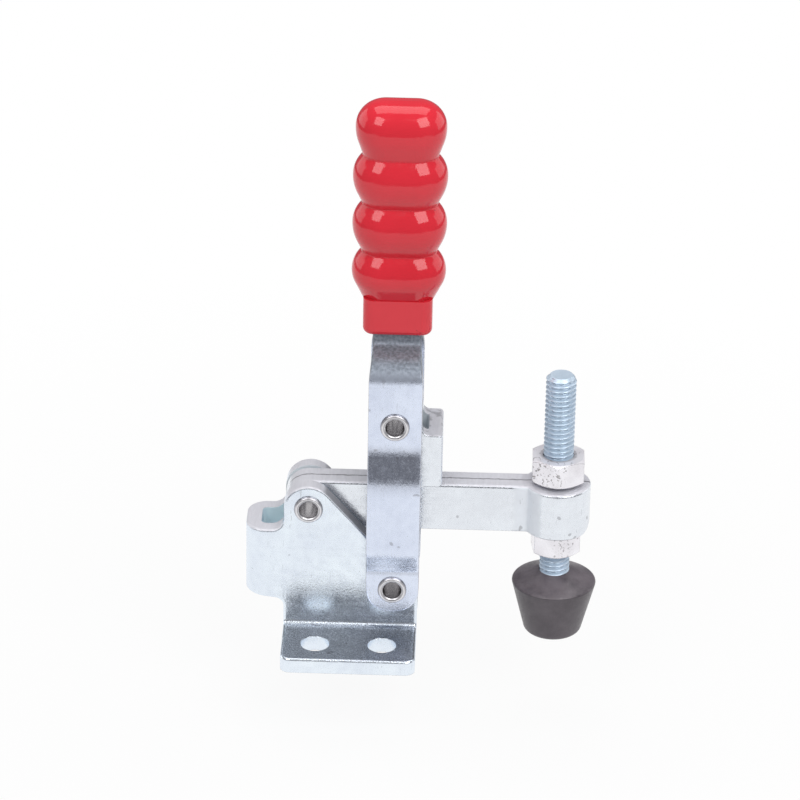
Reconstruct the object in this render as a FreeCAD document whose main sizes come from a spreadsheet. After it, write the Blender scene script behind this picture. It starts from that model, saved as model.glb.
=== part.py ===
"""A vertical toggle clamp: flanged base, solid two-plate arm, M6 spindle and upright handle.

Millimetres. X runs along the arm towards the spindle, Y across the clamp and Z up.
The origin is the middle of the four base holes, on the underside of the flanges.
The clamp is shown closed: handle upright, arm level, rubber tip on the plane of the base.
"""
import FreeCAD, Part
import math
import os
import Sketcher

document = FreeCAD.newDocument("ToggleClamp")


class Size:
    """A length with its number and the sheet formula that gives it."""

    def __init__(self, number, formula):
        self.number = float(number)
        self.formula = formula

    def __add__(self, other):
        other = as_size(other)
        return Size(self.number + other.number, f"({self.formula} + {other.formula})")

    def __sub__(self, other):
        other = as_size(other)
        return Size(self.number - other.number, f"({self.formula} - {other.formula})")

    def __mul__(self, other):
        other = as_size(other)
        return Size(self.number * other.number, f"({self.formula} * {other.formula})")

    def __truediv__(self, other):
        other = as_size(other)
        return Size(self.number / other.number, f"({self.formula} / {other.formula})")

    def __neg__(self):
        return Size(-self.number, f"(0 - {self.formula})")


def as_size(value):
    """Give a plain number the same form as a sheet value."""
    if isinstance(value, Size):
        return value
    return Size(value, repr(float(value)))


def slant(run, rise):
    """Length of a slope from its two legs."""
    formula = f"sqrt({run.formula} * {run.formula} + {rise.formula} * {rise.formula})"
    return Size(math.hypot(run.number, rise.number), formula)


class Sheet:
    """The spreadsheet of driving dimensions, with one attribute here for each alias."""

    def __init__(self, sizes):
        self.cells = document.addObject("Spreadsheet::Sheet", "Sizes")
        for row, (name, value) in enumerate(sizes.items(), start=1):
            self.cells.set(f"A{row}", name)
            self.cells.set(f"B{row}", repr(float(value)))
            self.cells.setAlias(f"B{row}", name)
            setattr(self, name, Size(value, f"Sizes.{name}"))


SIZES = {
    # Sheet steel, and the clearances between layers that slide past each other
    "steel": 3.0,
    "link_steel": 2.8,
    "side_gap": 0.2,
    "pivot_play": 0.05,
    "slot_play": 0.2,
    # Pivots, as places in the XZ plane
    "arm_pivot_x": -8.3,
    "arm_pivot_z": 28.3,
    "handle_x": 8.2,
    "base_pivot_z": 12.8,
    "link_pivot_z": 48.2,
    "arm_link_z": 27.5,
    # Tubular rivets, and the sleeves round two of them
    "rivet_bore": 3.5,
    "rivet_shank": 4.4,
    "rivet_head": 5.6,
    "rivet_head_height": 0.6,
    "rivet_head_round": 0.5,
    "rivet_mouth_round": 0.5,
    "spacer_diameter": 6.8,
    # Base: flanges with four holes, two walls with ears, and the web that joins them at the rear
    "flange_length": 26.2,
    "base_width": 40.8,
    "flange_corner": 2.0,
    "base_edge_round": 0.5,
    "fold_round": 0.9,
    "hole_diameter": 5.6,
    "hole_spacing_x": 13.0,
    "hole_spacing_y": 28.4,
    "web_reach": 20.6,
    "web_bend": 1.0,
    "web_bottom": 8.2,
    "web_bottom_rise": 0.9,
    "web_top": 23.5,
    "web_foot_round": 1.8,
    "web_top_round": 2.5,
    "ear_round": 4.8,
    "ear_slope_run": 6.6,
    "ear_slope_drop": 7.5,
    "shoulder_z": 18.0,
    "shoulder_dip_round": 2.0,
    "shoulder_round": 2.5,
    # Arm: two plates laid together that open round the spindle into an eye
    "arm_top": 32.8,
    "arm_height": 10.0,
    "arm_rear": 4.6,
    "arm_rear_round": 4.4,
    "arm_toe_round": 2.5,
    "arm_edge_round": 0.6,
    "eye_outside": 13.0,
    "eye_neck_round": 0.7,
    "spindle_x": 39.8,
    "eye_play": 0.25,
    # Link: a channel that straddles the arm, closed by a web on the spindle side
    "link_head_half_width": 5.1,
    "link_head_round": 3.9,
    "link_head_above": 3.9,
    "link_foot_radius": 4.4,
    "link_foot_round": 4.2,
    "link_web_x": 17.4,
    "link_web_top": 44.9,
    "link_web_bottom": 33.8,
    "link_web_round": 0.8,
    "link_heel_round": 1.2,
    "link_neck_round": 1.5,
    "link_bend": 0.4,
    "link_bend_outside": 0.8,
    "link_edge_round": 0.3,
    # Handle: two bent strips, and how far they step out and in
    "strip_width": 10.3,
    "strip_tang_width": 9.2,
    "strip_foot": 5.0,
    "strip_foot_round": 4.6,
    "strip_taper_drop": 1.5,
    "strip_taper_length": 5.0,
    "strip_taper_round": 6.0,
    "strip_bend": 1.5,
    "crank_bend": 2.0,
    "foot_bend": 3.0,
    "bulge_bend": 7.0,
    "strip_edge_round": 0.4,
    "bulge_step": 1.8,
    "bulge_foot_low": 17.5,
    "bulge_foot_high": 20.8,
    "bulge_head_low": 36.1,
    "bulge_head_high": 43.3,
    "crank_length": 5.3,
    "crank_below_grip": 0.7,
    "tang_below_top": 7.5,
    # Grip: a moulded sleeve, flat in the middle and round at both ends, above a square collar
    "grip_top": 111.5,
    "grip_length": 46.5,
    "grip_flat": 5.6,
    "grip_crown": 0.5,
    "dome_radius": 5.75,
    "dome_round": 5.0,
    "dome_flank_rise": 4.0,
    "dome_height": 10.7,
    "rib_pitch": 9.75,
    "rib_radius": 6.15,
    "waist_radius": 4.35,
    "crease_round": 0.3,
    "shoulder_drop": 2.2,
    "shoulder_arc": 5.4,
    "belly_drop": 6.1,
    "belly_arc": 8.0,
    "last_belly_drop": 5.4,
    "last_belly_arc": 5.0,
    "neck_radius": 3.4,
    "neck_overlap": 2.0,
    "collar_height": 7.4,
    "collar_width": 13.2,
    "collar_depth": 9.2,
    "collar_corner": 2.0,
    "collar_foot_round": 1.3,
    # Spindle, its two nuts and the rubber tip
    "thread_diameter": 6.0,
    "thread_play": 0.05,
    "spindle_top": 55.8,
    "spindle_chamfer": 0.7,
    "nut_across": 10.0,
    "nut_height": 5.0,
    "nut_gap": 0.8,
    "lock_nut_across": 9.0,
    "lock_nut_height": 4.8,
    "nut_chamfer": 0.7,
    "bolt_head_across": 10.0,
    "bolt_head_height": 4.0,
    "bolt_head_z": 2.5,
    "tip_foot_radius": 5.5,
    "tip_rim_radius": 8.3,
    "tip_rim_z": 11.0,
    "tip_crown_z": 13.3,
    "tip_foot_round": 1.3,
    "tip_rim_round": 0.4,
    # A little more than the whole clamp, for cuts that pass right through
    "beyond": 200.0,
}
dim = Sheet(SIZES)

# Degrees that the arm opens by, and that the handle and link turn with it
ARM_TRAVEL_DEG = 92.0
HANDLE_TRAVEL_DEG = 60.0
LINK_TRAVEL_DEG = 42.5

# Degrees that each nut is turned by about the spindle
UPPER_NUT_TURN_DEG = 30.0
LOCK_NUT_TURN_DEG = 37.0

# Heights and half-widths that several pieces share
wall_in = dim.steel + dim.side_gap
wall_out = wall_in + dim.steel
link_out = wall_in + dim.link_steel
strip_in = wall_out + dim.side_gap
strip_out = strip_in + dim.steel
bulge_in = strip_in + dim.bulge_step
arm_bottom = dim.arm_top - dim.arm_height
flange_half = dim.flange_length / 2
grip_foot = dim.grip_top - dim.grip_length
grip_neck = grip_foot + dim.collar_height - dim.neck_overlap
tang_top = dim.grip_top - dim.tang_below_top
crank_high = grip_foot - dim.crank_below_grip
crank_low = crank_high - dim.crank_length
shank_radius = dim.rivet_shank / 2
fixed_bore = shank_radius
running_bore = shank_radius + dim.pivot_play
thread_radius = dim.thread_diameter / 2 - dim.thread_play
nut_bore = dim.thread_diameter / 2


def new_body(label):
    body = document.addObject("PartDesign::Body", label)
    body.Label = label
    return body


def new_sketch(body, role, name, height=None):
    """A sketch on one of the body's own origin planes, lifted off it by a height."""
    plane = [item for item in body.Origin.OriginFeatures if item.Role == role][0]
    sketch = body.newObject("Sketcher::SketchObject", name)
    sketch.AttachmentSupport = [(plane, "")]
    sketch.MapMode = "FlatFace"
    if height is not None:
        sketch.AttachmentOffset = FreeCAD.Placement(
            FreeCAD.Vector(0, 0, height.number), FreeCAD.Rotation()
        )
        sketch.setExpression("AttachmentOffset.Base.z", height.formula)
    return sketch


def hold(sketch, kind, elements, size):
    """Add a dimension to a sketch and tie it to the sheet."""
    index = sketch.addConstraint(Sketcher.Constraint(kind, *elements, size.number))
    sketch.setExpression(f"Constraints[{index}]", size.formula)


def hold_point(sketch, geometry, point, x, y):
    """Dimension a point from the sketch's origin."""
    hold(sketch, "DistanceX", (-1, 1, geometry, point), x)
    hold(sketch, "DistanceY", (-1, 1, geometry, point), y)


def draw_circle(sketch, x, y, radius):
    centre = FreeCAD.Vector(x.number, y.number, 0)
    axis = FreeCAD.Vector(0, 0, 1)
    index = sketch.addGeometry(Part.Circle(centre, axis, radius.number), False)
    hold_point(sketch, index, 3, x, y)
    hold(sketch, "Radius", (index,), radius)


def corner_round(before, corner, after, radius):
    """Where a round of this radius leaves the two edges of a corner, and its circle."""
    to_before = (before - corner).normalize()
    to_after = (after - corner).normalize()
    half = to_before.getAngle(to_after) / 2
    reach = radius / math.tan(half)
    middle = (to_before + to_after).normalize()
    centre = corner + middle * (radius / math.sin(half))
    start = corner + to_before * reach
    end = corner + to_after * reach
    turns_left = (corner - before).cross(after - corner).z > 0
    return start, end, centre, turns_left


def draw_loop(sketch, corners):
    """A closed outline. Each corner is x, y and, where it is rounded, a radius."""
    corners = [tuple(corner) + (None,) * (3 - len(corner)) for corner in corners]
    points = [
        FreeCAD.Vector(as_size(x).number, as_size(y).number, 0) for x, y, _ in corners
    ]
    count = len(corners)
    arcs = []
    for index, (_, _, radius) in enumerate(corners):
        if radius is None:
            arcs.append(None)
            continue
        before = points[index - 1]
        after = points[(index + 1) % count]
        arcs.append(corner_round(before, points[index], after, radius.number))
    lines = []
    for index in range(count):
        following = (index + 1) % count
        start = arcs[index][1] if arcs[index] else points[index]
        end = arcs[following][0] if arcs[following] else points[following]
        lines.append(sketch.addGeometry(Part.LineSegment(start, end), False))
    for index, (x, y, radius) in enumerate(corners):
        line_in = lines[index - 1]
        line_out = lines[index]
        if radius is None:
            sketch.addConstraint(Sketcher.Constraint("Coincident", line_in, 2, line_out, 1))
            hold_point(sketch, line_out, 1, as_size(x), as_size(y))
            continue
        start, end, centre, turns_left = arcs[index]
        first, last = (start, end) if turns_left else (end, start)
        circle = Part.Circle(centre, FreeCAD.Vector(0, 0, 1), radius.number)
        angles = [math.atan2(p.y - centre.y, p.x - centre.x) for p in (first, last)]
        arc = sketch.addGeometry(Part.ArcOfCircle(circle, *angles), False)
        arc_start, arc_end = (1, 2) if turns_left else (2, 1)
        corner = sketch.addGeometry(Part.Point(points[index]), True)
        hold_point(sketch, corner, 1, as_size(x), as_size(y))
        sketch.addConstraint(Sketcher.Constraint("PointOnObject", corner, 1, line_in))
        sketch.addConstraint(Sketcher.Constraint("PointOnObject", corner, 1, line_out))
        sketch.addConstraint(Sketcher.Constraint("Tangent", line_in, 2, arc, arc_start))
        sketch.addConstraint(Sketcher.Constraint("Tangent", arc, arc_end, line_out, 1))
        hold(sketch, "Radius", (arc,), radius)


def draw_rounded(sketch, width, depth, corner=None):
    """A rectangle about the origin, with rounded corners if a radius is given."""
    x = width / 2
    y = depth / 2
    draw_loop(sketch, [(-x, -y, corner), (x, -y, corner), (x, y, corner), (-x, y, corner)])


def draw_frame(sketch):
    """A square far outside the piece, so that a pocket takes all outside a drawn outline."""
    draw_rounded(sketch, dim.beyond * 2, dim.beyond * 2)


def draw_hexagon(sketch, across, turn=0.0):
    """A hexagon about the origin, from its width across flats and its turn in degrees."""
    corner = across / math.sqrt(3)
    corners = []
    for step in range(6):
        angle = math.radians(turn + 60 * step)
        corners.append((corner * math.cos(angle), corner * math.sin(angle)))
    draw_loop(sketch, corners)


def pad(body, sketch, length, both_ways=False):
    feature = body.newObject("PartDesign::Pad", sketch.Name + "Pad")
    feature.Profile = sketch
    feature.Length = length.number
    feature.setExpression("Length", length.formula)
    if both_ways:
        feature.SideType = "Symmetric"
    sketch.Visibility = False
    return feature


def pocket_through(body, sketch):
    """Cut a sketch through the whole piece, on both sides of its plane."""
    feature = body.newObject("PartDesign::Pocket", sketch.Name + "Pocket")
    feature.Profile = sketch
    feature.Length = (dim.beyond * 2).number
    feature.setExpression("Length", (dim.beyond * 2).formula)
    feature.SideType = "Symmetric"
    return feature


def pocket(body, sketch, depth, upward=False):
    """Cut a sketch to a depth, below its plane or above it."""
    feature = body.newObject("PartDesign::Pocket", sketch.Name + "Pocket")
    feature.Profile = sketch
    feature.Length = depth.number
    feature.setExpression("Length", depth.formula)
    feature.Reversed = upward
    return feature


def revolve(body, sketch):
    """Turn a sketch on the XZ plane about the body's own Z axis."""
    feature = body.newObject("PartDesign::Revolution", sketch.Name + "Turn")
    feature.Profile = sketch
    feature.ReferenceAxis = (sketch, ["V_Axis"])
    feature.Angle = 360
    return feature


def groove(body, sketch):
    """Cut a sketch on the XZ plane round the body's own Z axis."""
    feature = body.newObject("PartDesign::Groove", sketch.Name + "Cut")
    feature.Profile = sketch
    feature.ReferenceAxis = (sketch, ["V_Axis"])
    feature.Angle = 360
    return feature


def move(body, x=None, y=None, z=None, rotation=None):
    """Place a body, with its place tied to the sheet."""
    places = {"x": x, "y": y, "z": z}
    numbers = [size.number if size else 0.0 for size in places.values()]
    body.Placement = FreeCAD.Placement(
        FreeCAD.Vector(*numbers), rotation or FreeCAD.Rotation()
    )
    for axis, size in places.items():
        if size:
            body.setExpression(f"Placement.Base.{axis}", size.formula)


def fillet_edges(body, base, radius, wanted):
    """Round those edges of a feature that pass a test."""
    names = []
    for index, edge in enumerate(base.Shape.Edges, start=1):
        if wanted(edge):
            names.append(f"Edge{index}")
    feature = body.newObject("PartDesign::Fillet", base.Name + "Round")
    feature.Base = (base, names)
    feature.Radius = radius.number
    feature.setExpression("Radius", radius.formula)
    return feature


def normals_at(shape, edge):
    """The directions that the faces beside an edge look in, at the edge's middle."""
    middle = edge.valueAt((edge.FirstParameter + edge.LastParameter) / 2)
    return [
        face.normalAt(*face.Surface.parameter(middle))
        for face in shape.ancestorsOfType(edge, Part.Face)
    ]


def round_outer_edges(body, feature, radius, is_outer, is_side):
    """Round the blanked edges between the outer faces of a sheet and its cut sides."""
    document.recompute()
    shape = feature.Shape

    def wanted(edge):
        normals = normals_at(shape, edge)
        outer = [is_outer(normal, edge) for normal in normals]
        side = [is_side(normal, edge) for normal in normals]
        return len(normals) == 2 and any(outer) and any(side)

    return fillet_edges(body, feature, radius, wanted)


# Base bracket, folded and pierced from one sheet


def ear_outline():
    """Side view of the walls and rear web, seen along Y."""
    slope = slant(dim.ear_slope_run, dim.ear_slope_drop)
    ear = dim.ear_round
    ear_peak = dim.arm_pivot_z + ear * (slope + dim.ear_slope_drop) / dim.ear_slope_run
    below = (dim.arm_pivot_z - dim.shoulder_z) * dim.ear_slope_run / slope
    dip_x = dim.arm_pivot_x + (ear + below) * slope / dim.ear_slope_drop
    return [
        (-flange_half, -dim.steel),
        (-flange_half, dim.web_bottom, dim.web_foot_round),
        (-dim.web_reach, dim.web_bottom + dim.web_bottom_rise),
        (-dim.web_reach, dim.web_top),
        (dim.arm_pivot_x - ear, dim.web_top, dim.web_top_round),
        (dim.arm_pivot_x - ear, ear_peak, ear),
        (dip_x, dim.shoulder_z, dim.shoulder_dip_round),
        (flange_half, dim.shoulder_z, dim.shoulder_round),
        (flange_half, -dim.steel),
    ]


def fold_outline(side):
    """Section of one flange and the foot of its wall, seen along X."""
    foot_round = dim.steel + dim.fold_round
    overlap = foot_round + dim.steel
    edge = dim.base_width / 2
    return [
        (wall_in * side, overlap),
        (wall_in * side, 0.0, foot_round),
        (edge * side, 0.0),
        (edge * side, dim.steel),
        (wall_out * side, dim.steel, dim.fold_round),
        (wall_out * side, overlap),
    ]


def round_base_edges(body, feature):
    """Round the upper edges of the flanges, and from there those of the walls and web.

    The flange edges run on through the folds without a corner, so the round follows
    them up the walls, over the ears and across the web.
    """
    top = dim.steel.number
    wall_foot = wall_out.number + dim.steel.number

    def on_flange(edge):
        middle = edge.CenterOfMass
        return abs(middle.z - top) < 0.01 and abs(middle.y) > wall_foot

    def is_outer(normal, edge):
        return normal.z > 0.9 and on_flange(edge)

    def is_side(normal, edge):
        return abs(normal.z) < 0.1 and on_flange(edge)

    round_outer_edges(body, feature, dim.base_edge_round, is_outer, is_side)


def make_base_bracket():
    body = new_body("base_bracket")
    foot = dim.steel + dim.fold_round
    plan = new_sketch(body, "XY_Plane", "BaseChannel", foot)
    bend_out = dim.steel + dim.web_bend
    web_in = dim.web_reach - dim.steel
    draw_loop(
        plan,
        [
            (flange_half, -wall_out),
            (flange_half, -wall_in),
            (-web_in, -wall_in, dim.web_bend),
            (-web_in, wall_in, dim.web_bend),
            (flange_half, wall_in),
            (flange_half, wall_out),
            (-dim.web_reach, wall_out, bend_out),
            (-dim.web_reach, -wall_out, bend_out),
        ],
    )
    height = dim.arm_pivot_z + dim.ear_round
    pad(body, plan, height)
    side = new_sketch(body, "XZ_Plane", "BaseSide")
    draw_frame(side)
    draw_loop(side, ear_outline())
    pocket_through(body, side)
    folds = new_sketch(body, "YZ_Plane", "BaseFolds")
    for sign in (-1.0, 1.0):
        draw_loop(folds, fold_outline(sign))
    pad(body, folds, dim.flange_length, both_ways=True)
    corners = new_sketch(body, "XY_Plane", "FlangePlan")
    draw_frame(corners)
    edge = dim.base_width / 2
    draw_loop(
        corners,
        [
            (-flange_half, -edge, dim.flange_corner),
            (flange_half, -edge, dim.flange_corner),
            (flange_half, edge, dim.flange_corner),
            (-flange_half, edge, dim.flange_corner),
        ],
    )
    round_base_edges(body, pocket(body, corners, dim.steel, upward=True))
    holes = new_sketch(body, "XY_Plane", "FlangeHoles")
    for x_sign in (-1.0, 1.0):
        for y_sign in (-1.0, 1.0):
            draw_circle(
                holes,
                dim.hole_spacing_x / 2 * x_sign,
                dim.hole_spacing_y / 2 * y_sign,
                dim.hole_diameter / 2,
            )
    pocket(body, holes, dim.steel, upward=True)
    pivots = new_sketch(body, "XZ_Plane", "BasePivots")
    draw_circle(pivots, dim.arm_pivot_x, dim.arm_pivot_z, fixed_bore)
    draw_circle(pivots, dim.handle_x, dim.base_pivot_z, fixed_bore)
    pocket_through(body, pivots)
    return body


# Arm plates, a mirrored pair that meets on the middle plane


def arm_outline(rear_round=None, toe_round=None):
    """Side view of an arm plate, seen along Y."""
    rear = dim.arm_pivot_x - dim.arm_rear
    nose = dim.spindle_x + dim.eye_outside / 2
    return [
        (rear, arm_bottom, rear_round),
        (nose, arm_bottom, toe_round),
        (nose, dim.arm_top),
        (rear, dim.arm_top, rear_round),
    ]


def make_arm_plate(label, side):
    body = new_body(label)
    eye = dim.eye_outside / 2
    strip = new_sketch(body, "XY_Plane", "ArmStrip", arm_bottom)
    draw_loop(
        strip,
        [
            (dim.arm_pivot_x - dim.arm_rear, 0.0),
            (dim.spindle_x, 0.0),
            (dim.spindle_x, dim.steel * side),
            (dim.arm_pivot_x - dim.arm_rear, dim.steel * side),
        ],
    )
    pad(body, strip, dim.arm_height)
    disc = new_sketch(body, "XY_Plane", "ArmEye", arm_bottom)
    draw_circle(disc, dim.spindle_x, as_size(0.0), eye)
    joined = pad(body, disc, dim.arm_height)
    document.recompute()
    neck_x = dim.spindle_x.number - math.sqrt(eye.number**2 - dim.steel.number**2)

    def is_neck(edge):
        middle = edge.CenterOfMass
        near = abs(middle.x - neck_x) < 0.01 and middle.y * side > 0
        return near and abs(edge.Length - dim.arm_height.number) < 0.01

    fillet_edges(body, joined, dim.eye_neck_round, is_neck)
    half = new_sketch(body, "XY_Plane", "ArmFarHalf")
    draw_loop(
        half,
        [
            (-dim.beyond, 0.0),
            (dim.beyond, 0.0),
            (dim.beyond, dim.beyond * -side),
            (-dim.beyond, dim.beyond * -side),
        ],
    )
    pocket_through(body, half)
    bore = new_sketch(body, "XY_Plane", "ArmEyeBore")
    draw_circle(bore, dim.spindle_x, as_size(0.0), dim.thread_diameter / 2 + dim.eye_play)
    pocket_through(body, bore)
    outline = new_sketch(body, "XZ_Plane", "ArmSide")
    draw_frame(outline)
    draw_loop(outline, arm_outline(rear_round=dim.arm_rear_round))
    cut = pocket_through(body, outline)
    bore_half = dim.eye_outside.number / 2 - 1.0

    def is_outer(normal, edge):
        middle = edge.CenterOfMass
        from_eye = math.hypot(middle.x - dim.spindle_x.number, middle.y)
        at_bore = from_eye < bore_half and middle.x > neck_x + 1.0
        return abs(normal.z) < 0.3 and normal.y * side > 0.2 and not at_bore

    def is_side(normal, edge):
        return abs(normal.z) > 0.5 or normal.x < -0.5

    round_outer_edges(body, cut, dim.arm_edge_round, is_outer, is_side)
    toe = new_sketch(body, "XZ_Plane", "ArmToe")
    draw_frame(toe)
    draw_loop(toe, arm_outline(toe_round=dim.arm_toe_round))
    pocket_through(body, toe)
    pivots = new_sketch(body, "XZ_Plane", "ArmPivots")
    draw_circle(pivots, dim.arm_pivot_x, dim.arm_pivot_z, running_bore)
    draw_circle(pivots, dim.handle_x, dim.arm_link_z, running_bore)
    pocket_through(body, pivots)
    return body


# Link, with a slot at its upper pivot


def turned(point, degrees):
    """A point in the XZ plane turned about the origin, up from +X."""
    angle = math.radians(degrees)
    x, z = point
    return (
        x * math.cos(angle) - z * math.sin(angle),
        x * math.sin(angle) + z * math.cos(angle),
    )


def upper_pivot_wander():
    """How far the handle's upper rivet strays in the link: left, right, down and up.

    The arm, handle and link turn in fixed proportion, so the rivet doesn't stay
    on the link's own centre between the two ends of the travel.
    """
    arm_pivot = (dim.arm_pivot_x.number, dim.arm_pivot_z.number)
    base_pivot = (dim.handle_x.number, dim.base_pivot_z.number)
    upper = (dim.handle_x.number, dim.link_pivot_z.number)
    lower = (dim.handle_x.number, dim.arm_link_z.number)
    handle_arm = (upper[0] - base_pivot[0], upper[1] - base_pivot[1])
    arm_arm = (lower[0] - arm_pivot[0], lower[1] - arm_pivot[1])
    steps = 40
    strays = []
    for step in range(steps + 1):
        share = step / steps
        swung = turned(handle_arm, HANDLE_TRAVEL_DEG * share)
        lifted = turned(arm_arm, ARM_TRAVEL_DEG * share)
        rivet_x = base_pivot[0] + swung[0] - arm_pivot[0] - lifted[0]
        rivet_z = base_pivot[1] + swung[1] - arm_pivot[1] - lifted[1]
        link_turn = (ARM_TRAVEL_DEG + LINK_TRAVEL_DEG) * share
        seen = turned((rivet_x, rivet_z), -link_turn)
        strays.append((seen[0], seen[1] - (upper[1] - lower[1])))
    across = [stray[0] for stray in strays]
    along = [stray[1] for stray in strays]
    return -min(across), max(across), -min(along), max(along)


def link_outline():
    """Side view of the link, seen along Y."""
    left = dim.handle_x - dim.link_head_half_width
    right = dim.handle_x + dim.link_head_half_width
    foot_left = dim.handle_x - dim.link_foot_radius
    foot_right = dim.handle_x + dim.link_foot_radius
    foot = dim.arm_link_z - dim.link_foot_radius
    top = dim.link_pivot_z + dim.link_head_above
    waist = dim.link_web_bottom
    return [
        (foot_left, foot, dim.link_foot_round),
        (foot_right, foot, dim.link_foot_round),
        (foot_right, waist, dim.link_neck_round),
        (dim.link_web_x, waist, dim.link_web_round),
        (dim.link_web_x, dim.link_web_top, dim.link_web_round),
        (right, dim.link_web_top, dim.link_neck_round),
        (right, top, dim.link_head_round),
        (left, top, dim.link_head_round),
        (left, waist, dim.link_heel_round),
        (foot_left, waist - dim.link_foot_radius, dim.link_heel_round),
    ]


def make_toggle_link():
    body = new_body("toggle_link")
    left = dim.handle_x - dim.link_head_half_width
    foot = dim.arm_link_z - dim.link_foot_radius
    plan = new_sketch(body, "XY_Plane", "LinkChannel", foot)
    web_in = dim.link_web_x - dim.link_steel
    draw_loop(
        plan,
        [
            (left, -link_out),
            (dim.link_web_x, -link_out, dim.link_bend_outside),
            (dim.link_web_x, link_out, dim.link_bend_outside),
            (left, link_out),
            (left, wall_in),
            (web_in, wall_in, dim.link_bend),
            (web_in, -wall_in, dim.link_bend),
            (left, -wall_in),
        ],
    )
    pad(body, plan, dim.link_pivot_z + dim.link_head_above - foot)
    side = new_sketch(body, "XZ_Plane", "LinkSide")
    draw_frame(side)
    draw_loop(side, link_outline())
    cut = pocket_through(body, side)

    def is_outer(normal, edge):
        middle = edge.CenterOfMass
        return abs(normal.y) > 0.9 and abs(middle.y) > wall_in.number + 0.5

    def is_side(normal, edge):
        return abs(normal.y) < 0.3 and normal.x < 0.5

    round_outer_edges(body, cut, dim.link_edge_round, is_outer, is_side)
    to_left, to_right, down, up = upper_pivot_wander()
    room = shank_radius + dim.slot_play
    x_left = dim.handle_x - room - to_left
    x_right = dim.handle_x + room + to_right
    z_low = dim.link_pivot_z - room - down
    z_high = dim.link_pivot_z + room + up
    slot = new_sketch(body, "XZ_Plane", "LinkSlot")
    draw_loop(
        slot,
        [
            (x_left, z_low, room),
            (x_right, z_low, room),
            (x_right, z_high, room),
            (x_left, z_high, room),
        ],
    )
    draw_circle(slot, dim.handle_x, dim.arm_link_z, fixed_bore)
    pocket_through(body, slot)
    return body


# Handle strips, a mirrored pair


def strip_profile(side):
    """Section of a handle strip, seen along X: inner face up, then outer face down."""

    def shift(step, rise):
        """How far the outer corner of a bend lies beyond the inner one."""
        return dim.steel * (slant(step, rise) - rise) / step

    foot = dim.base_pivot_z - dim.strip_foot
    low = shift(dim.bulge_step, dim.bulge_foot_high - dim.bulge_foot_low)
    high = shift(dim.bulge_step, dim.bulge_head_high - dim.bulge_head_low)
    crank = shift(strip_in, dim.crank_length)
    bulge_out = bulge_in + dim.steel
    inner = [
        (strip_in, foot),
        (strip_in, dim.bulge_foot_low, dim.foot_bend + dim.steel),
        (bulge_in, dim.bulge_foot_high, dim.foot_bend),
        (bulge_in, dim.bulge_head_low, dim.bulge_bend),
        (strip_in, dim.bulge_head_high, dim.bulge_bend + dim.steel),
        (strip_in, crank_low, dim.crank_bend),
        (as_size(0.0), crank_high, dim.strip_bend + dim.steel),
        (as_size(0.0), tang_top),
    ]
    outer = [
        (dim.steel, tang_top),
        (dim.steel, crank_high - crank, dim.strip_bend),
        (strip_out, crank_low + crank, dim.crank_bend + dim.steel),
        (strip_out, dim.bulge_head_high - high, dim.bulge_bend),
        (bulge_out, dim.bulge_head_low + high, dim.bulge_bend + dim.steel),
        (bulge_out, dim.bulge_foot_high + low, dim.foot_bend + dim.steel),
        (strip_out, dim.bulge_foot_low - low, dim.foot_bend),
        (strip_out, foot),
    ]
    return [(corner[0] * side,) + corner[1:] for corner in inner + outer]


def make_handle_strip(label, side):
    body = new_body(label)
    profile = new_sketch(body, "YZ_Plane", "StripProfile")
    draw_loop(profile, strip_profile(side))
    pad(body, profile, (dim.handle_x + dim.strip_width) * 2, both_ways=True)
    outline = new_sketch(body, "XZ_Plane", "StripFront")
    draw_frame(outline)
    wide = dim.strip_width / 2
    narrow = dim.strip_tang_width / 2
    foot = dim.base_pivot_z - dim.strip_foot
    taper_low = crank_low - dim.strip_taper_drop
    taper_high = taper_low + dim.strip_taper_length
    top = tang_top + dim.steel
    draw_loop(
        outline,
        [
            (dim.handle_x - wide, foot, dim.strip_foot_round),
            (dim.handle_x + wide, foot, dim.strip_foot_round),
            (dim.handle_x + wide, taper_low, dim.strip_taper_round),
            (dim.handle_x + narrow, taper_high, dim.strip_taper_round),
            (dim.handle_x + narrow, top),
            (dim.handle_x - narrow, top),
            (dim.handle_x - narrow, taper_high, dim.strip_taper_round),
            (dim.handle_x - wide, taper_low, dim.strip_taper_round),
        ],
    )
    cut = pocket_through(body, outline)

    def is_outer(normal, edge):
        return normal.y * side > 0.5

    def is_side(normal, edge):
        return abs(normal.y) < 0.3

    round_outer_edges(body, cut, dim.strip_edge_round, is_outer, is_side)
    pivots = new_sketch(body, "XZ_Plane", "StripPivots")
    draw_circle(pivots, dim.handle_x, dim.base_pivot_z, running_bore)
    draw_circle(pivots, dim.handle_x, dim.link_pivot_z, fixed_bore)
    pocket_through(body, pivots)
    return body


# Grip, the same outline drawn straight across its middle and turned at both ends


def grip_outline():
    """Half of the grip seen from the end of the arm, as distance out and height."""
    first_crease = dim.grip_top - dim.dome_height
    corners = [
        (dim.dome_radius, dim.grip_top - dim.grip_crown, dim.dome_round),
        (dim.dome_radius, first_crease + dim.dome_flank_rise, dim.belly_arc),
        (dim.waist_radius, first_crease, dim.crease_round),
    ]
    for rib in range(3):
        crease = first_crease - dim.rib_pitch * rib
        corners.append((dim.rib_radius, crease - dim.shoulder_drop, dim.shoulder_arc))
        if rib < 2:
            corners.append((dim.rib_radius, crease - dim.belly_drop, dim.belly_arc))
            corners.append((dim.waist_radius, crease - dim.rib_pitch, dim.crease_round))
        else:
            corners.append((dim.rib_radius, crease - dim.last_belly_drop, dim.last_belly_arc))
    corners.append((dim.neck_radius, grip_neck))
    return corners


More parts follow.
